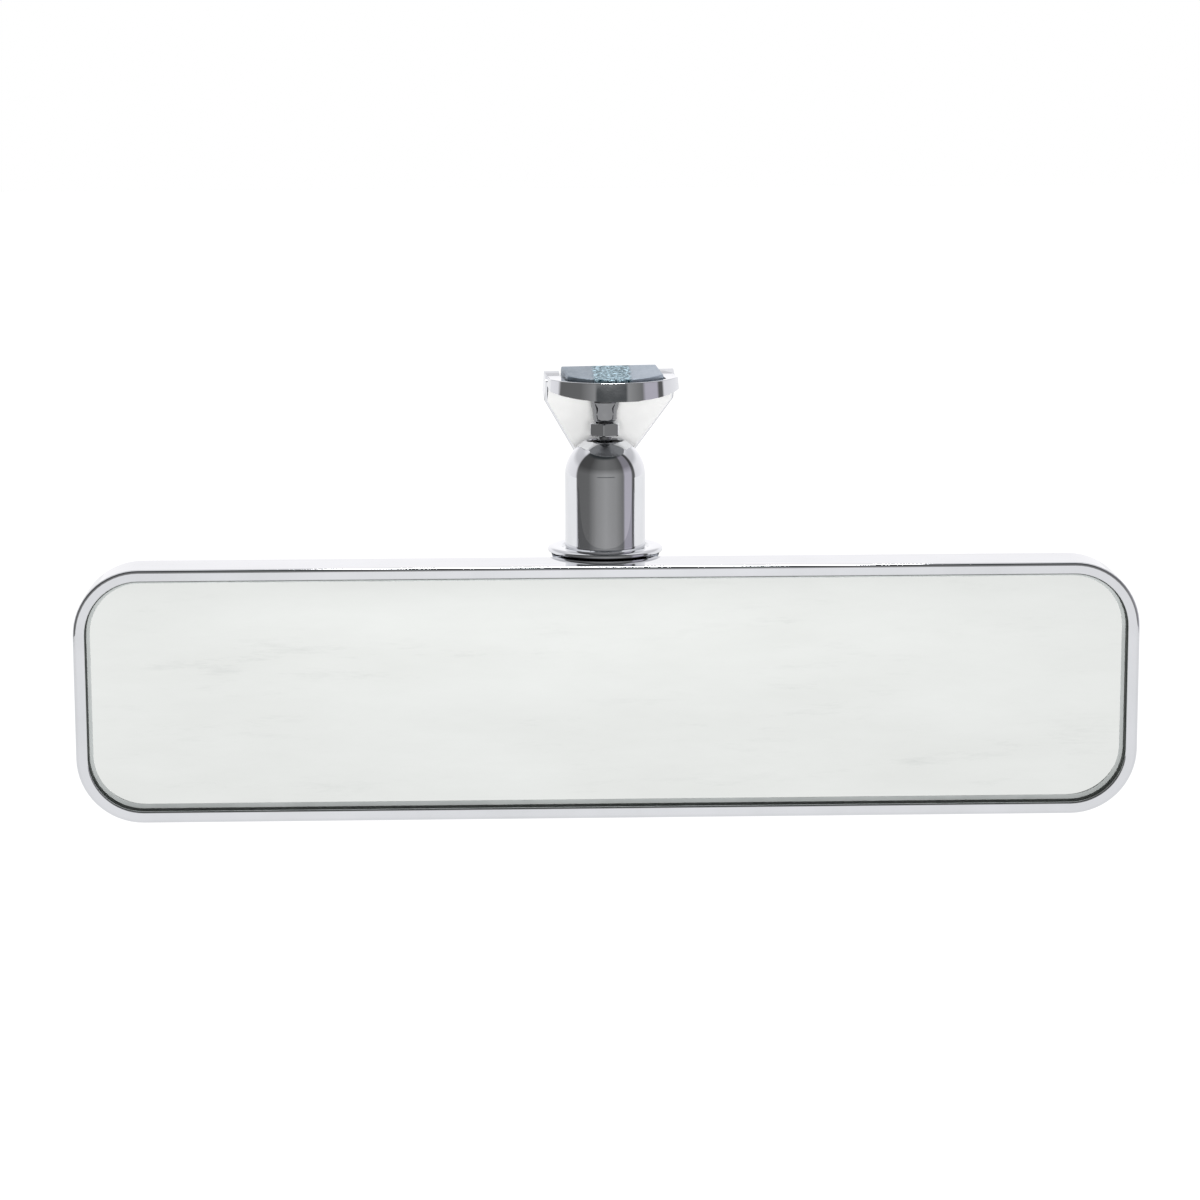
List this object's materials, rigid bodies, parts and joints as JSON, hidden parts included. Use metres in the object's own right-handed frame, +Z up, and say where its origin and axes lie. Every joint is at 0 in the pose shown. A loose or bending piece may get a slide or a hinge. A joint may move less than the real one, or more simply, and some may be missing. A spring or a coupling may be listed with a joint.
{
  "type": "interior rear-view mirror",
  "caption": "Rounded rectangular rear-view mirror in a narrow chrome frame, on a short ball-jointed chrome tube with a foot that slides on a windscreen button.",
  "frame": {"origin": "middle of the glue face that sits against the windscreen", "axes": "+Z up, -Y the way the glass faces (towards the driver), X across the car; the glue face looks forwards and 30 degrees up, turned 6.5 degrees from +Y towards -X"},
  "size_m": [0.254, 0.0407, 0.106],
  "materials": {
    "windshield_glue_pad": "soft matt black",
    "windshield_button": "blue-grey zinc, rough cast top",
    "foot_casting": "bright chrome",
    "foot_set_screw": "plain steel",
    "ball_stud": "bright chrome",
    "stud_lock_nut": "bright chrome",
    "upper_ball_seat": "natural nylon",
    "lower_ball_cup": "natural nylon",
    "spring_seat": "pressed steel",
    "pivot_spring": "spring steel",
    "pivot_tube": "bright chrome",
    "tube_grub_screw": "plain steel",
    "arm_bracket": "bright chrome",
    "bracket_screw_1": "bright steel",
    "bracket_screw_2": "bright steel",
    "bracket_screw_3": "bright steel",
    "bracket_nut_1": "plain steel",
    "bracket_nut_2": "plain steel",
    "bracket_nut_3": "plain steel",
    "reinforcement_plate": "mill-finish steel",
    "rear_shell": "bright chrome",
    "bezel_frame": "bright chrome",
    "mirror_glass": "silvered glass",
    "glass_seal": "black rubber",
    "backing_pad": "dark grey foam"
  },
  "bodies": {
    "button": {"windshield_glue_pad": "windshield_glue_pad", "windshield_button": "windshield_button"},
    "foot": {"foot_casting": "foot_casting", "foot_set_screw": "foot_set_screw", "ball_stud": "ball_stud", "stud_lock_nut": "stud_lock_nut"},
    "seat": {"upper_ball_seat": "upper_ball_seat"},
    "cup": {"lower_ball_cup": "lower_ball_cup"},
    "head": {"spring_seat": "spring_seat", "pivot_spring": "pivot_spring", "pivot_tube": "pivot_tube", "tube_grub_screw": "tube_grub_screw", "arm_bracket": "arm_bracket", "bracket_screw_1": "bracket_screw_1", "bracket_screw_2": "bracket_screw_2", "bracket_screw_3": "bracket_screw_3", "bracket_nut_1": "bracket_nut_1", "bracket_nut_2": "bracket_nut_2", "bracket_nut_3": "bracket_nut_3", "reinforcement_plate": "reinforcement_plate", "rear_shell": "rear_shell", "bezel_frame": "bezel_frame", "mirror_glass": "mirror_glass", "glass_seal": "glass_seal", "backing_pad": "backing_pad"}
  },
  "joints": [
    {"name": "foot_slide", "type": "slide", "parent": "button", "child": "foot", "axis": [-0.0566, 0.4968, -0.866], "range_m": [0, 0.025]},
    {"name": "swivel", "type": "hinge", "parent": "foot", "child": "seat", "pos_m": [-0.00036, -0.01009, -0.01664], "axis": [0, 0, 1], "continuous": true},
    {"name": "tilt", "type": "hinge", "parent": "seat", "child": "cup", "pos_m": [-0.00036, -0.01009, -0.01664], "axis": [1, 0, 0], "range_deg": [-10, 10]},
    {"name": "roll", "type": "hinge", "parent": "cup", "child": "head", "pos_m": [-0.00036, -0.01009, -0.01664], "axis": [0, 1, 0], "range_deg": [-10, 10]}
  ]
}
